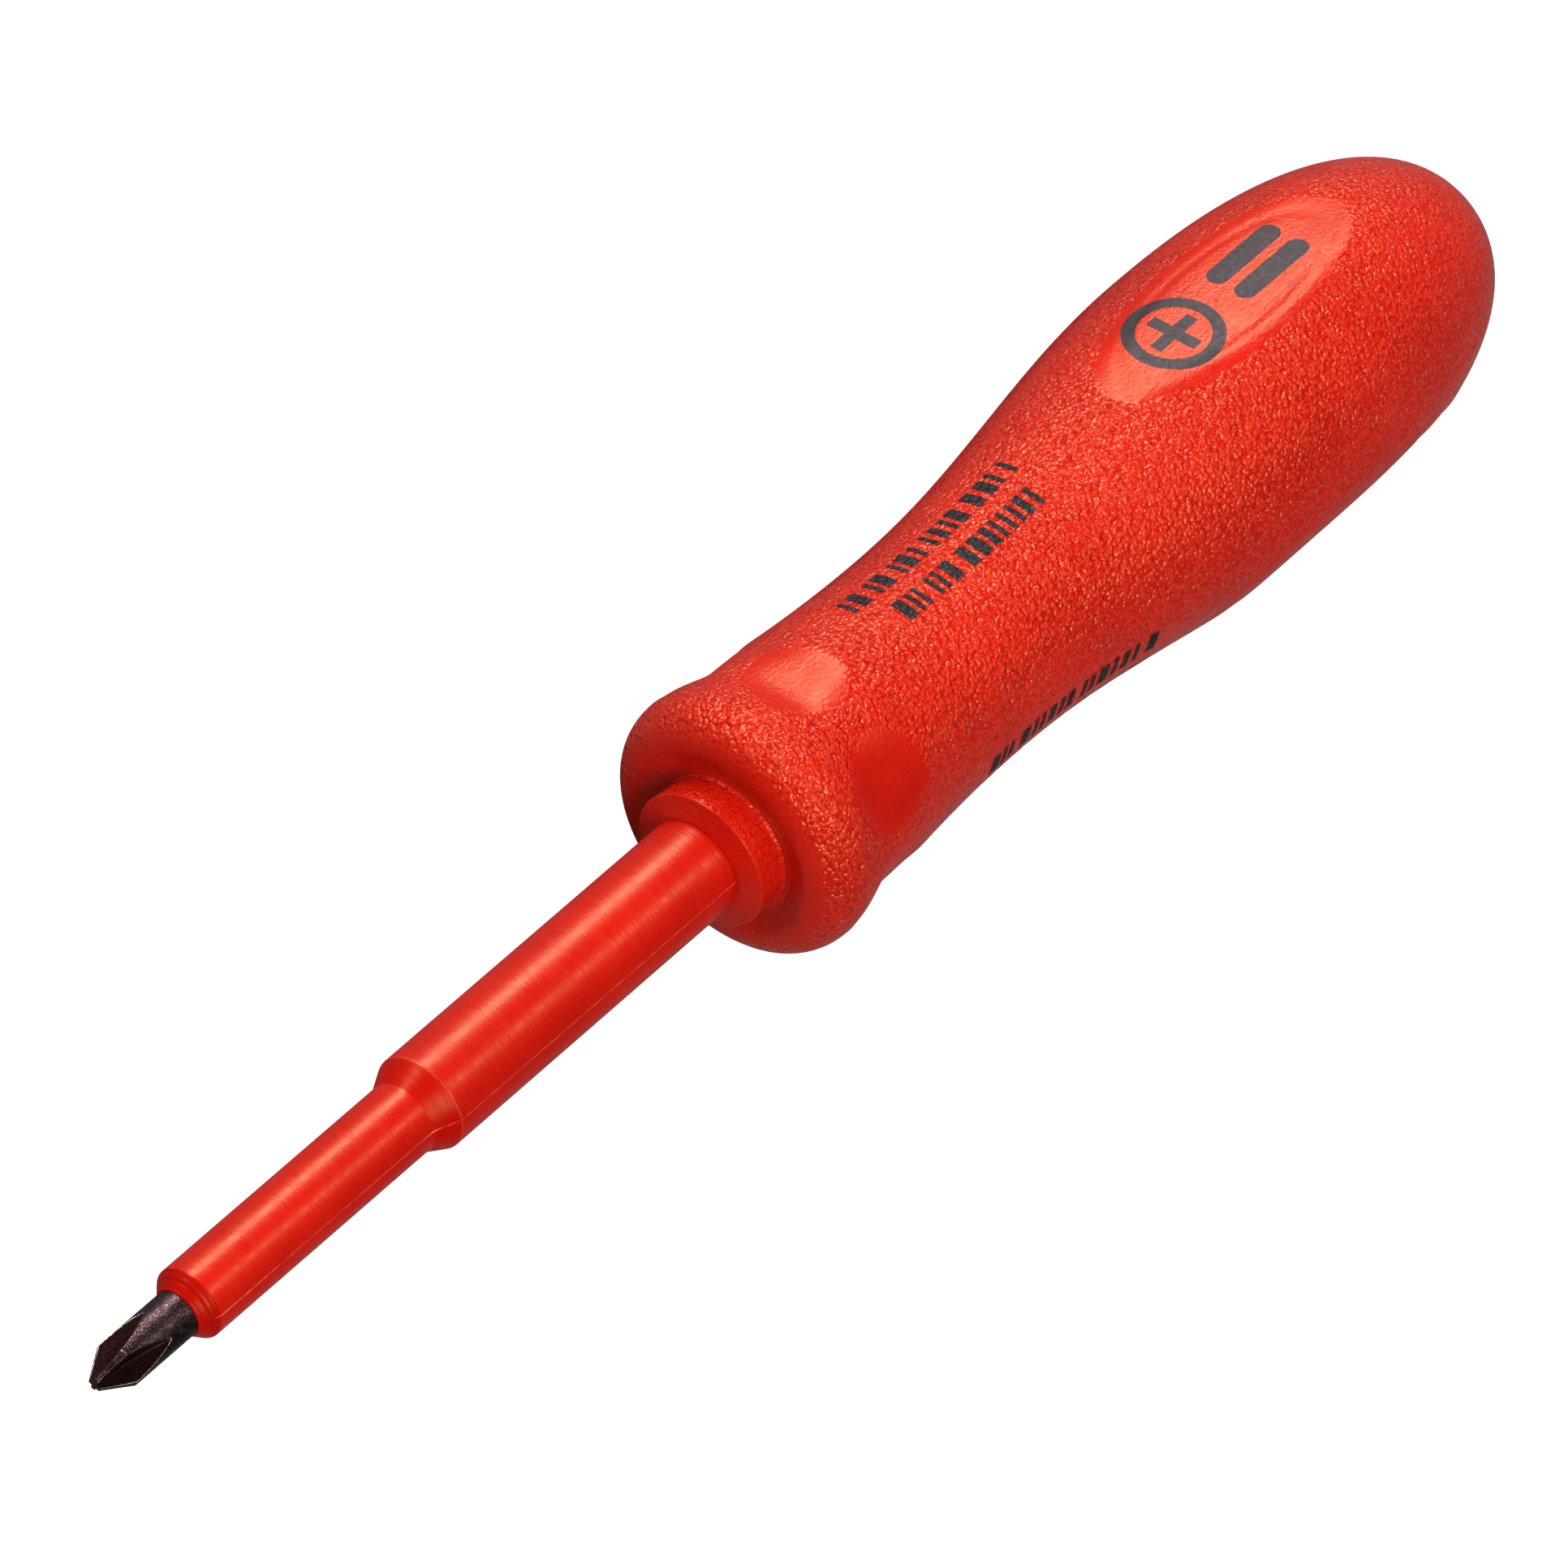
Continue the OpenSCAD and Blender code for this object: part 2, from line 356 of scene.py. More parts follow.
def grip_radius(x, r, turn):
    """True radius of the grip's outer face."""
    cut = hollowed(x, r, turn, PANEL_TURNS, panel_height, PANEL_BLEND)
    cut = hollowed(x, cut, turn, DIMPLE_TURNS, dimple_height, DIMPLE_BLEND)
    behind_flange = x > FLANGE_X + 0.3
    strength = 0.5 + 0.5 * wander(x, 11, 1.3)
    flash = seam_ridge(turn, GRIP_SEAM_TURN, np.maximum(r, 1.0), GRIP_SEAM_HEIGHT, GRIP_SEAM_HALF_W)
    flashed = (r > ROOT_R + 0.2) & (x > NOSE_X - 0.2)
    out = np.where(behind_flange, cut, r) - torn_depth(x, r, turn)
    return out + np.where(flashed, flash * strength, 0.0)


def surface_radius(x, turn):
    """Radius of the grip's face behind the flange, for marks laid on it."""
    return grip_radius(np.asarray(x, float), body_radius(x), np.asarray(turn, float))


def in_ellipse(x, side, centre_x, half_len, half_w, fade=0.04):
    """1 well inside an ellipse on the face, 0 outside, with a soft edge."""
    reach = ellipse_reach(x, side, centre_x, half_len, half_w)
    return 1.0 - smooth_step(1.0 - fade, 1.0 + fade, reach)


def grain_amount(x, r, turn):
    """How deep the moulded grain is: 1 on the body, least on smooth faces."""
    smooth = np.zeros_like(x)
    for centre in PANEL_TURNS:
        side = r * np.radians(wrapped(turn - centre))
        panel = in_ellipse(x, side, BULGE_X, PANEL_HALF_LEN, PANEL_SMOOTH_HALF_W)
        smooth = np.maximum(smooth, panel)
    for centre in DIMPLE_TURNS:
        side = r * np.radians(wrapped(turn - centre))
        dimple = in_ellipse(x, side, DIMPLE_SMOOTH_X, DIMPLE_SMOOTH_HALF_LEN,
                            DIMPLE_SMOOTH_HALF_W, fade=0.18)
        smooth = np.maximum(smooth, 0.95 * dimple)
    nose = np.where(x < FLANGE_X, smooth_step(FLANGE_R - 0.8, FLANGE_R - 2.6, r), 0.0)
    front = np.where(r > ROOT_R + 0.3, nose, 0.6)
    trimmed = (x < COLLAR_X + 0.15) & (r < COLLAR_R + 0.05)
    return np.where(trimmed, 0.0, (1.0 - smooth) * (1.0 - 0.85 * front))


def trim_amount(x, r, turn):
    """1 on the collar's face, where a knife trimmed the moulding."""
    return np.where((x < COLLAR_X - 0.02) & (r > TAIL_R + 0.1), 1.0, 0.0)


def flash_highlight_amount(x, r, turn):
    """Where a highlight is painted: 1 on the fine flash round the collar's root, 0.5 along the
    parting line.
    """
    behind_collar = (x > COLLAR_X + 1.0) & (x < FLANGE_X)
    root_line = np.where(behind_collar, hump(r, FLASH_R, 0.04), 0.0)
    nose = (r > FLASH_R) & (r < FLANGE_R - 0.4) & (x < FLANGE_X)
    collar = (x > FACE_X - 0.1) & (x < ROOT_X - 0.2)
    seam = seam_ridge(turn, GRIP_SEAM_TURN, np.maximum(r, 1.0), 0.5, GRIP_SEAM_HALF_W - 0.01)
    return np.maximum(root_line, np.where(nose | collar, seam, 0.0))


BODY_STRETCHES = ((FLANGE_X, 92.0, 33), (92.0, 128.0, 45), (128.0, BULGE_X, 39))


def grip_outline():
    """The grip's closed outline: cavity, bore, collar, nose, body and end."""
    cavity = [(CORE_HIGH[0], 0.0), (CORE_HIGH[0], CORE_END_R),
              (CORE_BULGE_XS[1], CORE_BULGE_R), (CORE_BULGE_XS[0], CORE_BULGE_R),
              (CORE_NECK_XS[1], CORE_NECK_R), (CORE_NECK_XS[0], CORE_NECK_R),
              (CORE_LOW[0], CORE_FRONT_R), (CORE_LOW[0], TAIL_R)]
    face = (FACE_X, TAIL_R)
    rim = (COLLAR_X, COLLAR_R)
    root = (ROOT_X, ROOT_R)
    valley = (ROOT_X + 0.1, ROOT_R + 0.45)
    nose = nose_point(0)
    points = cavity + line(cavity[-1], (FACE_X + 0.05, TAIL_R), 4)
    points += [face]
    points += line(face, rim, 10)[:-1]
    points += rounded(face, rim, root, 0.09)
    points += line(rim, root, 9)[:-2]
    points += rounded(rim, root, valley, 0.3)
    points += rounded(root, valley, nose, 0.3)
    slope = (nose[0] - valley[0]) / (nose[1] - valley[1])
    # Three close rings hold the thin flash, and the others the front's slope
    for r in (FLASH_R - 0.07, FLASH_R, FLASH_R + 0.07, 7.0, 7.3, 7.6, 7.9, 8.2, 8.45):
        points.append((valley[0] + (r - valley[1]) * slope, r))
    points += [nose_point(t) for t in np.linspace(0.0, 90.0, 22)]
    # Rings stand closest over the dimples and the panels, and wider at the waist
    for start, stop, count in BODY_STRETCHES:
        points += [(x, float(body_radius(x))) for x in steps(start, stop, count)]
    points += [end_point(t) for t in steps(0.0, 90.0, 69)]
    return points


# ---------------------------------------------------------------- the sleeve


def sleeve_radius(x, r, turn):
    """True radius of the sleeve: fine flash on its parting line, a burr at the step."""
    shown = (r > BLADE_R + 0.3) & (x < FACE_X + 0.01) & (x > RIM_X - 0.4)
    near_front = 0.35 + 0.65 * smooth_step(24.0, 14.0, x)
    strength = (0.7 + 0.3 * wander(x, 5, 2.5)) * near_front
    flash = seam_ridge(turn, SLEEVE_SEAM_TURN, r, SLEEVE_SEAM_HEIGHT, SLEEVE_SEAM_HALF_W)
    burr = seam_ridge(turn, SLEEVE_SEAM_TURN, r, BURR_HEIGHT, BURR_HALF_W)
    return r + np.where(shown, flash * strength + burr * hump(x, STEP_X, BURR_LEN), 0.0)


def sleeve_outline():
    """The sleeve's closed outline, front edge to tail and back along the bore."""
    front = (BARE_X, BLADE_R + 0.02)
    rim = (RIM_X, THIN_R)
    step = (STEP_X, THIN_R)
    shoulder = (SHOULDER_X, THICK_R)
    end = (FACE_X, THICK_R)
    lip = ((0.25, 0.0), (0.01, 0.0), (-0.02, 0.02), (-0.01, 0.07))
    points = [(BARE_X + off, BLADE_R + rise) for off, rise in lip]
    points += line(front, rim, 8)[:-1]
    points += rounded(front, rim, step, 0.16)
    points += line((RIM_X + 0.16, THIN_R), (STEP_X - 0.3, THIN_R), 52)
    points += rounded(rim, step, shoulder, 0.18)
    points += line(step, shoulder, 9)[1:-1]
    points += rounded(step, shoulder, end, 0.14)
    points += line((SHOULDER_X + 0.14, THICK_R), (FACE_X - 0.5, THICK_R), 70)
    points += rounded((FACE_X - 1.0, THICK_R), (FACE_X - 0.02, THICK_R), (FACE_X, TAIL_R), 0.1, 4)
    points += [(FACE_X, TAIL_R)]
    for start in GROOVE_XS:
        stop = start + GROOVE_LEN
        points += [(start, TAIL_R), (start + 0.01, TAIL_R - GROOVE_DEPTH)]
        points += [(stop - 0.01, TAIL_R - GROOVE_DEPTH), (stop, TAIL_R)]
    points += [(TAIL_END_X, TAIL_R), (TAIL_END_X, BLADE_R)]
    return points


CUT_LEAST, CUT_STEP = 0.12, 0.55


def cut_and_shade_amount(x, r, turn):
    """How freshly a tool has cut the sleeve, and how much shade is painted on it: 1 on its front
    cone, less on the step.
    """
    step = np.where((x > STEP_X) & (x < SHOULDER_X), CUT_STEP, CUT_LEAST)
    return np.where(x < RIM_X + 0.1, 1.0, step)


def sleeve_flash_highlight(x, r, turn):
    """Where a highlight is painted: 1 on the crest of the sleeve's parting line, and less on its
    shoulder's edge.
    """
    shown = (r > BLADE_R + 0.9) & (x < FACE_X + 0.01)
    near_cut = np.maximum(smooth_step(20.0, 12.0, x), hump(x, STEP_X, 0.8))
    crest = seam_ridge(turn, SLEEVE_SEAM_TURN, r, 1.0, SLEEVE_SEAM_HALF_W - 0.015)
    crest = crest * (0.45 + 0.55 * near_cut)
    # Painted highlight along the shoulder's rounded edge
    edge = 0.26 * hump(x, SHOULDER_X, 0.06)
    return np.where(shown, np.maximum(crest, edge), 0.0)


# ---------------------------------------------------------------- the blade


def flute_depth(x):
    """Distance of a flute's root from the axis at x."""
    reach = np.clip(np.abs(x - FLUTE_X), 0.0, FLUTE_WHEEL_R)
    return FLUTE_ROOT + FLUTE_WHEEL_R - np.sqrt(FLUTE_WHEEL_R ** 2 - reach ** 2)


def flute_radius(x, turn):
    """Radius of the nearest flute's flank or flat root in each direction."""
    off = np.radians(np.abs((turn - FLUTE_TURN + 45.0) % 90.0 - 45.0))
    slope = 1.0 / math.tan(math.radians(FLUTE_HALF_ANGLE))
    root = flute_depth(x)
    spread = np.cos(off) - np.sin(off) * slope
    flank = (root - FLUTE_FLAT / 2.0 * slope) / np.maximum(spread, 1e-3)
    return np.maximum(flank, root / np.cos(off))


def flute_turns(x, r):
    """Turns of a ring of the blade, with points that follow the ground edges.

    edge is the turn between a flute's middle and its ground edge, flat the turn
    to the edge of its flat root, and lip half the width of the rounded edge.
    """
    half_angle = math.radians(FLUTE_HALF_ANGLE)
    root = float(flute_depth(x))
    least = 1.5
    ratio = (root - FLUTE_FLAT / 2.0 / math.tan(half_angle)) / max(r, 0.1) * math.sin(half_angle)
    edge = math.degrees(math.acos(min(1.0, ratio))) - (90.0 - FLUTE_HALF_ANGLE)
    edge = min(44.4, max(least, edge if root < r and x < FLUTES_END_X else least))
    flat = min(0.4 * edge, math.degrees(math.atan(FLUTE_FLAT / 2.0 / root)))
    lip = min(0.2 * edge, 0.3 * (45.0 - edge), 1.6)
    offs = list(np.linspace(0.0, flat, 3))
    offs += list(np.linspace(flat, edge - lip, 15)[1:])
    offs += list(np.linspace(edge - lip, edge + lip, 9)[1:])
    offs += list(np.linspace(edge + lip, 45.0, 11)[1:])
    quarter = sorted([-o for o in offs[1:]] + offs)[:-1]
    return np.array([wrapped(FLUTE_TURN + 90.0 * k + o) for k in range(4) for o in quarter])


def blade_radius(x, r, turn):
    """True radius of the blade: ground point in front, wings on the tang."""
    if x[0] < FLUTES_END_X:
        return smooth_min(r, flute_radius(x, turn), FLUTE_EDGE_ROUND)
    for wing in WING_XS:
        reach = abs(x[0] - wing)
        if reach < WING_LEN / 2.0:
            half = min(WING_W / 2.0, BLADE_R + (WING_LEN / 2.0 - reach) * WING_SLOPE)
            across = np.maximum(np.abs(np.sin(np.radians(turn))), 1e-6)
            along = np.maximum(np.abs(np.cos(np.radians(turn))), 1e-6)
            return np.maximum(r, np.minimum(half / across, WING_T / 2.0 / along))
    return r


def edge_amount(x, r, turn):
    """Where wear and a painted highlight go: 1 on the ground edges of the flutes, 0.6 on the
    shoulder of the point.
    """
    flute = flute_radius(x, turn)
    ground = 1.0 - smooth_step(0.010, 0.034, np.abs(r - flute))
    off_shoulder = np.abs(x - POINT_LEN) + 0.8 * np.clip(r - flute, 0.0, 1.0)
    shoulder = 0.6 - 0.6 * smooth_step(0.02, 0.07, off_shoulder)
    return np.where(x < FLUTES_END_X, np.maximum(ground, shoulder), 0.0)


def flute_amount(x, r, turn):
    """1 inside the ground flutes of the blade."""
    deep = r - flute_radius(x, turn)
    return np.where(x < FLUTES_END_X, smooth_step(0.03, 0.12, deep), 0.0)


def blade_outline():
    """The blade's outline, tip to the end of the tang."""
    tip = (0.0, TIP_R)
    shoulder = (POINT_LEN, BLADE_R)
    points = [(0.0, 0.0), (0.0, TIP_R * 0.35), (0.0, TIP_R * 0.7)]
    points += rounded((0.0, 0.0), tip, shoulder, 0.06, 4)
    points += line((0.04, TIP_R + 0.02), (POINT_LEN - 0.06, BLADE_R - 0.03), 34)
    points += rounded(tip, shoulder, (6.0, BLADE_R), 0.05, 4)
    points += line((POINT_LEN + 0.06, BLADE_R), (7.6, BLADE_R), 62)
    points += [(9.5, BLADE_R), (TAIL_END_X, BLADE_R)]
    half = WING_LEN / 2.0
    offs = (half + 0.01, half - 0.1, half - 2.2, half - 2.6)
    for wing in WING_XS:
        points += [(wing - off, BLADE_R) for off in offs]
        points += [(wing + off, BLADE_R) for off in reversed(offs)]
    points += [(TANG_X, BLADE_R), (TANG_X, 0.0)]
    return points


# ---------------------------------------------------------------- printed marks


def laid_film(name, grids, turn, lift=0.014, sink=0.05):
    """A thin closed film of ink on the grip, centred on the line at a turn.

    grids is a list of (x, side) pairs of arrays, side being the distance round
    the grip from that line in millimetres. Grids that touch become one film.
    """
    spots, index, quads = [], {}, []
    for xs, sides in grids:
        ids = np.zeros(xs.shape, int)
        for place, x in np.ndenumerate(xs):
            key = (round(float(x), 4), round(float(sides[place]), 4))
            ids[place] = index.setdefault(key, len(index))
            if ids[place] == len(spots):
                spots.append(key)
        for i in range(xs.shape[0] - 1):
            for j in range(xs.shape[1] - 1):
                quad = (ids[i, j], ids[i, j + 1], ids[i + 1, j + 1], ids[i + 1, j])
                quads.append(tuple(int(v) for v in dict.fromkeys(quad)))
    x, side = np.array(spots).T
    angle = turn + np.degrees(side / body_radius(x))
    face_r = surface_radius(x, angle)
    verts = np.concatenate([place_of(x, face_r + lift, angle), place_of(x, face_r - sink, angle)])
    under = len(spots)
    edges = {(q[k], q[(k + 1) % len(q)]) for q in quads for k in range(len(q))}
    faces = quads + [tuple(v + under for v in reversed(q)) for q in quads]
    faces += [(b, a, a + under, b + under) for a, b in sorted(edges) if (b, a) not in edges]
    piece = new_object(name, verts, faces)
    piece.data.set_sharp_from_angle(angle=math.radians(40.0))
    return piece


def bar(x0, x1, side0, side1, pitch=0.3):
    """A grid over a plain rectangle."""
    x = np.linspace(x0, x1, max(2, round((x1 - x0) / pitch) + 1))
    side = np.linspace(side0, side1, max(2, round((side1 - side0) / pitch) + 1))
    return np.meshgrid(x, side, indexing="ij")


def pill(x0, x1, side, width):
    """A grid over a bar with round ends."""
    half_len, half_w = (x1 - x0) / 2.0, width / 2.0
    x = half_len * np.sin(np.linspace(-math.pi / 2.0, math.pi / 2.0, 33))
    past = np.clip((np.abs(x) - (half_len - half_w)) / half_w, 0.0, 1.0)
    reach = half_w * np.sqrt(1.0 - past ** 2)
    across = np.linspace(-1.0, 1.0, 9)
    return np.repeat(x[:, None] + (x0 + x1) / 2.0, 9, 1), side + reach[:, None] * across[None, :]


def ring(centre_x, side, inner, outer, count=72):
    """A grid over a flat ring."""
    angle = np.linspace(0.0, 2.0 * math.pi, count + 1)
    radius = np.linspace(inner, outer, 4)
    return (centre_x + np.cos(angle)[:, None] * radius[None, :],
            side + np.sin(angle)[:, None] * radius[None, :])


BLOCK_WIDTHS, BLOCK_GAPS = (0.5, 0.5, 0.8, 1.1), (0.45, 0.6, 1.1)


def hatch_row(x0, x1, height, seed):
    """A row of plain upright blocks of several widths, with gaps."""
    draw = np.random.default_rng(seed)
    blocks, x = [], x0
    while x < x1 - BLOCK_WIDTHS[0]:
        width = float(draw.choice(BLOCK_WIDTHS))
        blocks.append(bar(x, min(x + width, x1), -height / 2.0, height / 2.0))
        x += width + float(draw.choice(BLOCK_GAPS))
    return blocks


def plus(x, side, arm, half_w):
    """The grids of a plus sign, five bars that touch."""
    grids = []
    for x0, x1, side0, side1 in (
        (-arm, -half_w, -half_w, half_w), (-half_w, half_w, -half_w, half_w),
        (half_w, arm, -half_w, half_w), (-half_w, half_w, -arm, -half_w),
        (-half_w, half_w, half_w, arm),
    ):
        grids.append(bar(x + x0, x + x1, side + side0, side + side1))
    return grids


# ---------------------------------------------------------------- materials


class Nodes:
    """Short calls that build one node material."""

    def __init__(self, name):
        self.material = bpy.data.materials.new(name)
        self.material.use_nodes = True
        self.tree = self.material.node_tree
        self.shader = self.tree.nodes["Principled BSDF"]
        self.place = self.add("ShaderNodeTexCoord").outputs["Object"]

    def add(self, kind, **settings):
        """A new node with these settings."""
        node = self.tree.nodes.new(kind)
        for key, value in settings.items():
            setattr(node, key, value)
        return node

    def feed(self, socket, value):
        """Links an output to the socket, or sets its plain value."""
        if isinstance(value, bpy.types.NodeSocket):
            self.tree.links.new(value, socket)
        else:
            socket.default_value = value

    def stretched(self, along, across, turn=0.0, flat=None):
        """Object coordinates in millimetres, scaled along X and across it.

        Where flat is given, the direction at a turn about X is scaled by it.
        """
        flat = across if flat is None else flat
        spin = self.add("ShaderNodeMapping")
        self.feed(spin.inputs["Vector"], self.place)
        spin.inputs["Rotation"].default_value = (math.radians(turn), 0.0, 0.0)
        node = self.add("ShaderNodeMapping")
        self.feed(node.inputs["Vector"], spin.outputs["Vector"])
        node.inputs["Scale"].default_value = (along / MM, across / MM, flat / MM)
        return node.outputs["Vector"]

    def noise(self, vector, scale=1.0, detail=2.0, rough=0.5, bend=0.0):
        """Noise of about one feature per 1/scale of the vector's units."""
        node = self.add("ShaderNodeTexNoise")
        self.feed(node.inputs["Vector"], vector)
        node.inputs["Scale"].default_value = scale
        node.inputs["Detail"].default_value = detail
        node.inputs["Roughness"].default_value = rough
        node.inputs["Distortion"].default_value = bend
        return node.outputs["Fac"]

    def cells(self, vector, scale, smooth=0.25):
        """Distance from the middle of the nearest cell, of 1/scale units each."""
        node = self.add("ShaderNodeTexVoronoi", feature="SMOOTH_F1")
        self.feed(node.inputs["Vector"], vector)
        node.inputs["Scale"].default_value = scale
        node.inputs["Smoothness"].default_value = smooth
        return node.outputs["Distance"]

    def remap(self, value, low, high, to_low=0.0, to_high=1.0):
        """The value moved from one range to another, and held inside it."""
        node = self.add("ShaderNodeMapRange", clamp=True)
        self.feed(node.inputs["Value"], value)
        for key, number in zip(("From Min", "From Max", "To Min", "To Max"),
                               (low, high, to_low, to_high)):
            self.feed(node.inputs[key], number)
        return node.outputs["Result"]

    def maths(self, operation, a, b=0.0):
        """The result of an operation on one or two values."""
        node = self.add("ShaderNodeMath", operation=operation)
        self.feed(node.inputs[0], a)
        self.feed(node.inputs[1], b)
        return node.outputs["Value"]

    def mix(self, amount, a, b):
        """A mix of two colours."""
        node = self.add("ShaderNodeMix", data_type="RGBA")
        self.feed(node.inputs["Factor"], amount)
        self.feed(node.inputs["A"], a)
        self.feed(node.inputs["B"], b)
        return node.outputs["Result"]

    def mask(self, name):
        """A value stored on the mesh's points."""
        return self.add("ShaderNodeAttribute", attribute_name=name).outputs["Fac"]

    def bump(self, height, distance, strength=1.0, under=None):
        """A bump whose height of 1 stands distance millimetres proud."""
        node = self.add("ShaderNodeBump")
        node.inputs["Distance"].default_value = distance * MM
        self.feed(node.inputs["Strength"], strength)
        self.feed(node.inputs["Height"], height)
        if under is not None:
            self.feed(node.inputs["Normal"], under)
        return node.outputs["Normal"]

    def finish(self, colour, roughness, normal, **uniform):
        """Links the surface and returns the material."""
        self.feed(self.shader.inputs["Base Color"], colour)
        self.feed(self.shader.inputs["Roughness"], roughness)
        self.feed(self.shader.inputs["Normal"], normal)
        for key, value in uniform.items():
            self.shader.inputs[key.replace("_", " ")].default_value = value
        return self.material


RED = (0.51, 0.0085, 0.0032, 1.0)
RED_DEEP = (0.45, 0.0060, 0.0024, 1.0)
RED_PALE = (0.56, 0.0125, 0.0048, 1.0)
# Painted glints and wear: paler red on the tops of the grain
RED_WEAR_AND_GLINT = (0.63, 0.050, 0.023, 1.0)
# Painted shade on the sleeve's front-facing cut cones
RED_CONE_SHADE = (0.36, 0.0030, 0.0014, 1.0)
RED_SPECK = (0.25, 0.012, 0.006, 1.0)
CORE_REDS = ((0.30, 0.010, 0.005, 1.0), (0.42, 0.016, 0.008, 1.0))
# Painted highlight on the flash lines and on the sleeve's shoulder edge
FLASH_HIGHLIGHT = (0.95, 0.30, 0.20, 1.0)
STEEL_TONES = ((0.044, 0.023, 0.025, 1.0), (0.082, 0.050, 0.053, 1.0))
STEEL_GLINT = (0.26, 0.20, 0.20, 1.0)
# Wear and painted highlight on the blade's edges
STEEL_EDGE_WEAR_AND_HIGHLIGHT = (0.62, 0.50, 0.43, 1.0)
STEEL_FLUTE = (0.052, 0.022, 0.021, 1.0)
INK_ON_GRAIN_TONES = ((0.012, 0.008, 0.010, 1.0), (0.030, 0.021, 0.025, 1.0))
INK_ON_PANEL_TONES = ((0.026, 0.014, 0.017, 1.0), (0.050, 0.032, 0.036, 1.0))
FLOOR_TONES = ((0.17, 0.17, 0.17, 1.0), (0.19, 0.19, 0.19, 1.0))
WHITE = (1.0, 1.0, 1.0, 1.0)

# Nylon's gloss: its level on moulded faces and on cut ones, and its warm tint
NYLON_GLOSS, CUT_GLOSS = 0.56, 0.22
NYLON = {"IOR": 1.5, "Specular_Tint": (1.0, 0.80, 0.44, 1.0)}

# Pebbles of the grain per millimetre, and their height
GRAIN = 2.5
GRAIN_DEPTH = 0.19


def grain_height(n, place, bend=0.25):
    """The moulded grain: rounded pebbles that run together."""
    domes = n.cells(place, 1.0)
    domes = n.maths("SUBTRACT", 1.0, n.maths("MULTIPLY", domes, domes))
    run = n.noise(place, 0.85, 1.0, 0.45, bend)
    return n.maths("ADD", domes, n.remap(run, 0.35, 0.65, 0.0, 0.45))


def grip_colour(n, place, height, grain):
    """Clouded red, with painted glints and wear on the tops of the grain, and painted highlight in
    dots along the flash.
    """
    cloud = n.noise(place, 0.11, 3.0, 0.55)
    colour = n.mix(n.remap(cloud, 0.35, 0.68), RED_DEEP, RED_PALE)
    colour = n.mix(n.remap(n.noise(place, 0.8, 2.0), 0.3, 0.7, 0.0, 0.35), colour, RED)
    # Painted highlight: pale dots along the flash lines
    dots = n.remap(n.noise(place, 4.5, 1.0), 0.50, 0.62, 0.0, 0.27)
    colour = n.mix(n.maths("MULTIPLY", n.mask("flash"), dots), colour, FLASH_HIGHLIGHT)
    # Painted glints and wear: the tops of the grain are painted paler
    tops = n.maths("MULTIPLY", n.remap(height, 0.75, 1.25, 0.0, 0.5), grain)
    return n.mix(tops, colour, RED_WEAR_AND_GLINT)


def grip_roughness(n, place, grain):
    """Satin on the smooth faces, glossy on the grain, duller where it is scuffed."""
    smooth_rough = n.remap(n.noise(place, 0.5, 3.0), 0.3, 0.7, 0.30, 0.40)
    grain_rough = n.remap(n.noise(place, 0.7, 2.0), 0.3, 0.7, 0.10, 0.17)
    roughness = n.remap(grain, 0.0, 1.0, smooth_rough, grain_rough)
    scuffs = n.remap(n.noise(n.stretched(0.25, 1.6), 1.0, 3.0, 0.6, 0.4), 0.60, 0.72)
    return n.maths("ADD", roughness, n.maths("MULTIPLY", scuffs, 0.05))


def grip_normal(n, place, height, grain):
    """Orange peel, long scratches, the knife's marks on the collar, and the grain."""
    peel = n.bump(n.noise(place, 3.0, 2.0, 0.55), 0.065, 0.8)
    wave = n.noise(n.stretched(0.10, 2.6), 1.0, 1.0, 0.5, 0.3)
    off_line = n.maths("ABSOLUTE", n.maths("SUBTRACT", wave, 0.5))
    scratched = n.bump(n.remap(off_line, 0.0, 0.008, -1.0, 0.0), 0.015, 0.9, under=peel)
    knife = n.noise(n.stretched(0.3, 5.0, turn=-35.0, flat=0.12), 1.0, 2.0, 0.6)
    trimmed = n.bump(knife, 0.05, n.mask("trim"), under=scratched)
    return n.bump(height, GRAIN_DEPTH, grain, under=trimmed)


def grip_material():
    n = Nodes("grip_nylon")
    place = n.stretched(1.0, 1.0)
    grain = n.mask("grain")
    height = grain_height(n, n.stretched(GRAIN, GRAIN))
    colour = grip_colour(n, place, height, grain)
    roughness = grip_roughness(n, place, grain)
    normal = grip_normal(n, place, height, grain)
    return n.finish(colour, roughness, normal, Specular_IOR_Level=NYLON_GLOSS, **NYLON)


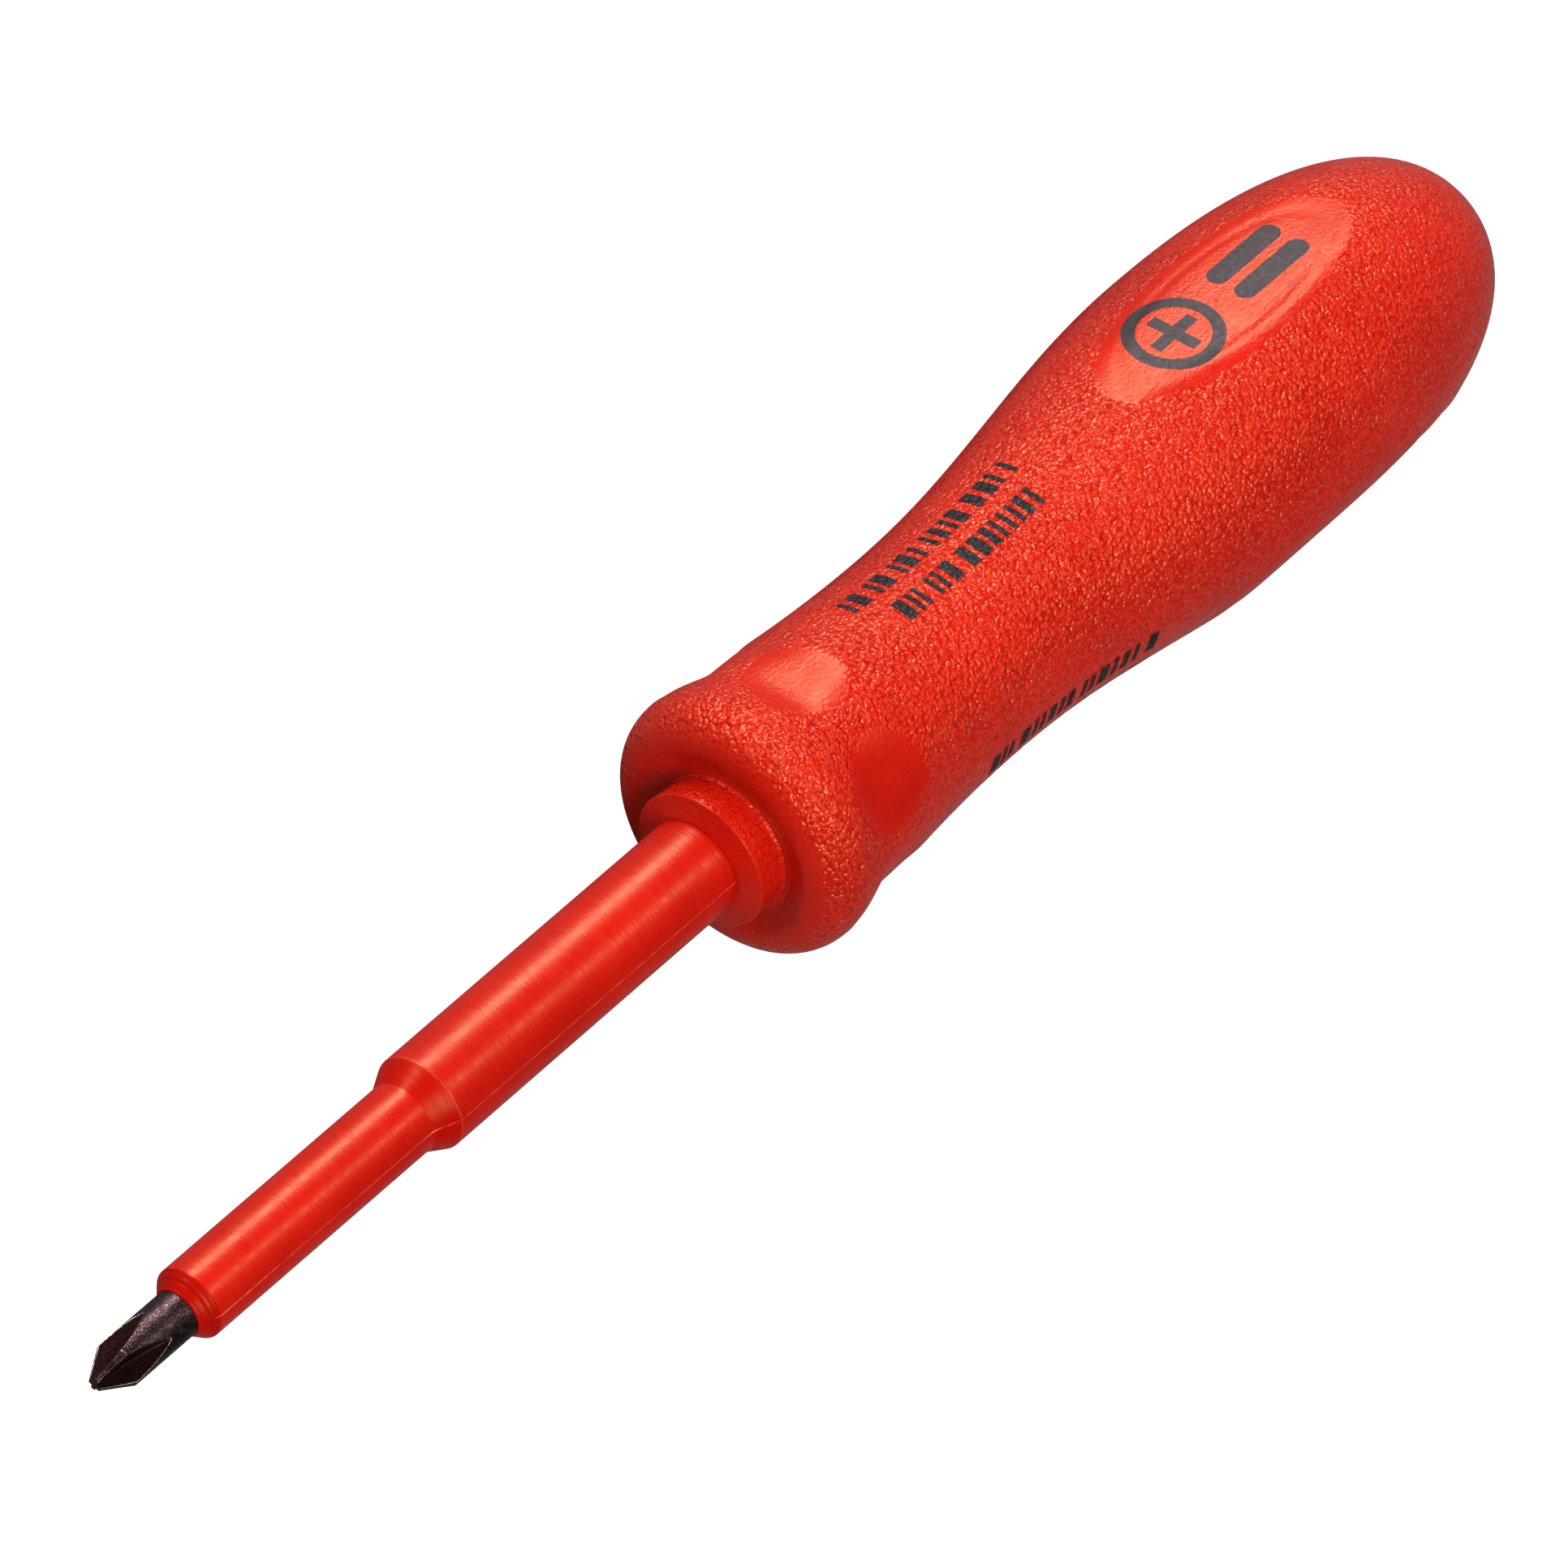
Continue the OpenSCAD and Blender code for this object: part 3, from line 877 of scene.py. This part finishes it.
def sleeve_material():
    n = Nodes("sleeve_nylon")
    place = n.stretched(1.0, 1.0)
    cloud = n.noise(place, 0.14, 3.0, 0.55)
    colour = n.mix(n.remap(cloud, 0.35, 0.68, 0.0, 0.5), RED_DEEP, RED_PALE)
    cut = n.mask("cut")
    # Painted shade: the front cone and the step are painted a darker red
    colour = n.mix(n.remap(cut, CUT_LEAST, 1.0, 0.0, 0.75), colour, RED_CONE_SHADE)
    specks = n.remap(n.noise(place, 3.2, 1.0), 0.76, 0.80)
    colour = n.mix(n.maths("MULTIPLY", specks, 0.6), colour, RED_SPECK)
    # Painted highlight: pale dots along the parting line and a pale line on the shoulder's edge
    dots = n.remap(n.noise(place, 1.6, 2.0), 0.38, 0.60, 0.25, 0.85)
    colour = n.mix(n.maths("MULTIPLY", n.mask("flash"), dots), colour, FLASH_HIGHLIGHT)
    roughness = n.remap(n.noise(n.stretched(1.2, 0.25), 1.0, 3.0), 0.3, 0.7, 0.30, 0.40)
    gloss = n.remap(cut, CUT_LEAST, CUT_STEP, NYLON_GLOSS, CUT_GLOSS)
    n.feed(n.shader.inputs["Specular IOR Level"], gloss)
    rings = n.noise(n.stretched(4.2, 0.08), 1.0, 1.0, 0.6)
    normal = n.bump(rings, 0.050, 0.9)
    cut_rings = n.noise(n.stretched(4.4, 0.10), 1.0, 1.0, 0.6)
    normal = n.bump(cut_rings, 0.075, cut, under=normal)
    normal = n.bump(n.noise(place, 3.0, 2.0, 0.5), 0.006, 0.6, under=normal)
    return n.finish(colour, roughness, normal, **NYLON)


def steel_material():
    n = Nodes("blackened_steel")
    place = n.stretched(1.0, 1.0)
    cloud = n.noise(place, 0.9, 3.0, 0.6)
    colour = n.mix(n.remap(cloud, 0.3, 0.7), *STEEL_TONES)
    glint = n.remap(n.noise(place, 6.5, 1.0, 0.5), 0.54, 0.68)
    colour = n.mix(n.maths("MULTIPLY", glint, 0.55), colour, STEEL_GLINT)
    # Wear and painted highlight: the ground edges and the point's shoulder are painted pale
    edge_wear_and_highlight = n.maths("MULTIPLY", n.mask("edge"), n.remap(n.noise(place, 2.5, 2.0), 0.3, 0.6))
    colour = n.mix(edge_wear_and_highlight, colour, STEEL_EDGE_WEAR_AND_HIGHLIGHT)
    colour = n.mix(n.mask("flute"), colour, STEEL_FLUTE)
    roughness = n.remap(n.noise(place, 6.0, 2.0), 0.3, 0.7, 0.28, 0.50)
    normal = n.bump(n.noise(place, 4.5, 2.0, 0.7), 0.040, 0.9)
    normal = n.bump(n.noise(n.stretched(9.0, 0.8), 1.0, 2.0), 0.006, 0.6, under=normal)
    return n.finish(colour, roughness, normal, Metallic=1.0)


def core_material():
    n = Nodes("core_nylon")
    place = n.stretched(1.0, 1.0)
    colour = n.mix(n.noise(place, 0.2, 3.0), *CORE_REDS)
    roughness = n.remap(n.noise(n.stretched(0.3, 1.5), 1.0, 3.0), 0.3, 0.7, 0.42, 0.56)
    normal = n.bump(n.noise(place, 2.5, 3.0, 0.6), 0.02, 0.7)
    return n.finish(colour, roughness, normal, Specular_IOR_Level=NYLON_GLOSS, **NYLON)


def ink_material(name, bare_height, inked_height, tones):
    """Grey printing ink: the red shows through where the grain lies low."""
    n = Nodes(name)
    height = grain_height(n, n.stretched(GRAIN, GRAIN))
    ink = n.mix(n.noise(n.stretched(0.9, 0.9), 1.0, 3.0), *tones)
    colour = n.mix(n.remap(height, bare_height, inked_height), RED_DEEP, ink)
    roughness = n.remap(n.noise(n.stretched(3.0, 3.0), 1.0, 2.0), 0.3, 0.7, 0.36, 0.52)
    normal = n.bump(height, GRAIN_DEPTH, n.mask("grain"))
    normal = n.bump(n.noise(n.stretched(1.1, 1.1), 1.0, 2.0), 0.02, 0.8, under=normal)
    return n.finish(colour, roughness, normal, IOR=1.5, Specular_IOR_Level=0.30)


def floor_material():
    """A pale floor that also glows, for the photo's pure white ground."""
    n = Nodes("pale_floor")
    place = n.stretched(1.0, 1.0)
    colour = n.mix(n.noise(place, 0.02, 2.0), *FLOOR_TONES)
    roughness = n.remap(n.noise(place, 0.05, 2.0), 0.3, 0.7, 0.85, 0.95)
    normal = n.bump(n.noise(place, 0.6, 2.0), 0.01, 0.3)
    return n.finish(colour, roughness, normal, Emission_Color=WHITE, Emission_Strength=0.80)


# ---------------------------------------------------------------- the object


# Points round each mesh, and the turns of the extra ones beside a parting line
GRIP_COUNT, GRIP_SPREAD = 336, (-1.6, -1.0, -0.5, 0.0, 0.5, 1.0, 1.6)
SLEEVE_COUNT, SLEEVE_SPREAD = 160, (-2.4, -1.5, -0.9, -0.45, 0.0, 0.45, 0.9, 1.5, 2.4)

grip = turned_piece(
    "grip", grip_outline(),
    even_turns(GRIP_COUNT, (GRIP_SEAM_TURN, wrapped(GRIP_SEAM_TURN + 180.0)), GRIP_SPREAD),
    grip_radius, {"grain": grain_amount, "trim": trim_amount, "flash": flash_highlight_amount},
)
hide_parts("handle_grip")
grip.data.materials.append(grip_material())

sleeve = turned_piece(
    "sleeve", sleeve_outline(),
    even_turns(SLEEVE_COUNT, (SLEEVE_SEAM_TURN, wrapped(SLEEVE_SEAM_TURN + 180.0)), SLEEVE_SPREAD),
    sleeve_radius, {"cut": cut_and_shade_amount, "flash": sleeve_flash_highlight},
)
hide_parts("blade_sleeve")
sleeve.data.materials.append(sleeve_material())

blade = turned_piece(
    "blade_bar", blade_outline(), flute_turns, blade_radius,
    {"edge": edge_amount, "flute": flute_amount},
)
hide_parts("blade")
blade.data.materials.append(steel_material())

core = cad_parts["handle_core"]
core.data.materials.clear()
core.data.materials.append(core_material())


def marked(name, grids, turn, material, grain):
    """A printed mark with its ink and the grain that it lies on."""
    piece = laid_film(name, grids, turn)
    layer = piece.data.attributes.new("grain", "FLOAT", "POINT")
    layer.data.foreach_set("value", np.full(len(piece.data.vertices), grain, np.float32))
    piece.data.materials.append(material)
    return piece


GRAINED_INK = ink_material("ink_on_grain", 0.25, 0.45, INK_ON_GRAIN_TONES)
PANEL_INK = ink_material("ink_on_panel", -1.0, -0.9, INK_ON_PANEL_TONES)

ROW_HEIGHT = 2.3
PRINT_ROWS = ((97.2, 119.4, -74.0), (99.6, 117.4, -53.0), (100.6, 121.8, 45.0), (101.6, 123.6, 67.0))
for number, (row_start, row_stop, row_turn) in enumerate(PRINT_ROWS, 1):
    blocks = hatch_row(row_start, row_stop, ROW_HEIGHT, seed=number)
    marked(f"print_row_{number}", blocks, row_turn, GRAINED_INK, 1.0)

# The emblem on the upper panel: a plus in a ring, and two bars behind it
EMBLEM_TURN = PANEL_TURNS[0]
EMBLEM_X, EMBLEM_SIDE = 138.4, -0.3
RING_INNER_R, RING_OUTER_R = 3.3, 4.5
PLUS_ARM, PLUS_HALF_W = 2.55, 0.6
PILL_X0, PILL_X1, PILL_OFF, PILL_W = 145.4, 154.6, 1.55, 2.1
emblem = [ring(EMBLEM_X, EMBLEM_SIDE, RING_INNER_R, RING_OUTER_R)]
emblem += plus(EMBLEM_X, EMBLEM_SIDE, PLUS_ARM, PLUS_HALF_W)
emblem += [pill(PILL_X0, PILL_X1, EMBLEM_SIDE + off, PILL_W) for off in (-PILL_OFF, PILL_OFF)]
marked("emblem", emblem, EMBLEM_TURN, PANEL_INK, 0.0)

# ---------------------------------------------------------------- the stage


def flat_plane(name, corners):
    """A stage object of one face."""
    mesh = bpy.data.meshes.new(name)
    mesh.from_pydata([tuple(c) for c in corners], [], [(0, 1, 2, 3)])
    piece = bpy.data.objects.new(name, mesh)
    bpy.context.scene.collection.objects.link(piece)
    return piece


# Places on the stage are in metres
AIM = Vector((0.0859, 0.0004, 0.0002))
FLOOR_REACH, FLOOR_GAP = 0.9, 0.00005
FLOOR_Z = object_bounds()[0].z - FLOOR_GAP
floor = flat_plane("floor", [
    (AIM.x + FLOOR_REACH * along, FLOOR_REACH * across, FLOOR_Z)
    for along, across in ((-1.0, -1.0), (1.0, -1.0), (1.0, 1.0), (-1.0, 1.0))
])
floor.data.materials.append(floor_material())

# The floor's glow lights the floor alone, and not the tool
glow_receivers = bpy.data.collections.new("glow_receivers")
glow_receivers.objects.link(floor)
floor.light_linking.receiver_collection = glow_receivers


def softbox(name, direction, distance, length, height, power):
    """A soft lamp that points at the object, its length as near to X as that allows."""
    lamp = bpy.data.lights.new(name, "AREA")
    lamp.shape = "RECTANGLE"
    lamp.size = length
    lamp.size_y = height
    lamp.energy = power
    holder = bpy.data.objects.new(name, lamp)
    bpy.context.scene.collection.objects.link(holder)
    back_axis = Vector(direction).normalized()
    up_axis = back_axis.cross(Vector((1.0, 0.0, 0.0))).normalized()
    along_axis = up_axis.cross(back_axis)
    turn = Matrix((along_axis, up_axis, back_axis)).transposed().to_4x4()
    holder.matrix_world = Matrix.Translation(AIM + back_axis * distance) @ turn
    return holder


# A long low key behind the tool, a narrow strip for the second highlight on
# the sleeve, and a fill from the front and above
softbox("key_softbox", (0.20, 0.980, 0.100), 1.0, 1.66, 0.22, 13.3)
softbox("strip_softbox", (0.45, 0.207, 0.870), 1.0, 0.50, 0.05, 1.50)
softbox("fill_softbox", (-0.42, -0.06, 0.90), 2.4, 1.6, 1.6, 55.0)

world = bpy.data.worlds.new("studio")
bpy.context.scene.world = world
world.use_nodes = True
background = world.node_tree.nodes["Background"]
background.inputs["Color"].default_value = WHITE
background.inputs["Strength"].default_value = 0.12
bpy.context.scene.view_settings.view_transform = "Standard"
bpy.context.scene.view_settings.look = "Medium High Contrast"

# The camera stands where the photo's stood: its place, and where its right and
# its top point
CAMERA_PLACE = (-0.47823, 0.3659, 0.7285)
CAMERA_RIGHT = Vector((0.62186, -0.39156, 0.67820))
CAMERA_UP = Vector((0.53784, 0.84301, -0.00644))
camera_data = bpy.data.cameras.new("camera")
camera_data.sensor_width = 36.0
camera_data.lens = 279.5
camera_data.clip_end = 20.0
camera = bpy.data.objects.new("camera", camera_data)
bpy.context.scene.collection.objects.link(camera)
camera_axes = Matrix((CAMERA_RIGHT, CAMERA_UP, CAMERA_RIGHT.cross(CAMERA_UP))).transposed()
camera.matrix_world = Matrix.Translation(CAMERA_PLACE) @ camera_axes.to_4x4()
bpy.context.scene.camera = camera
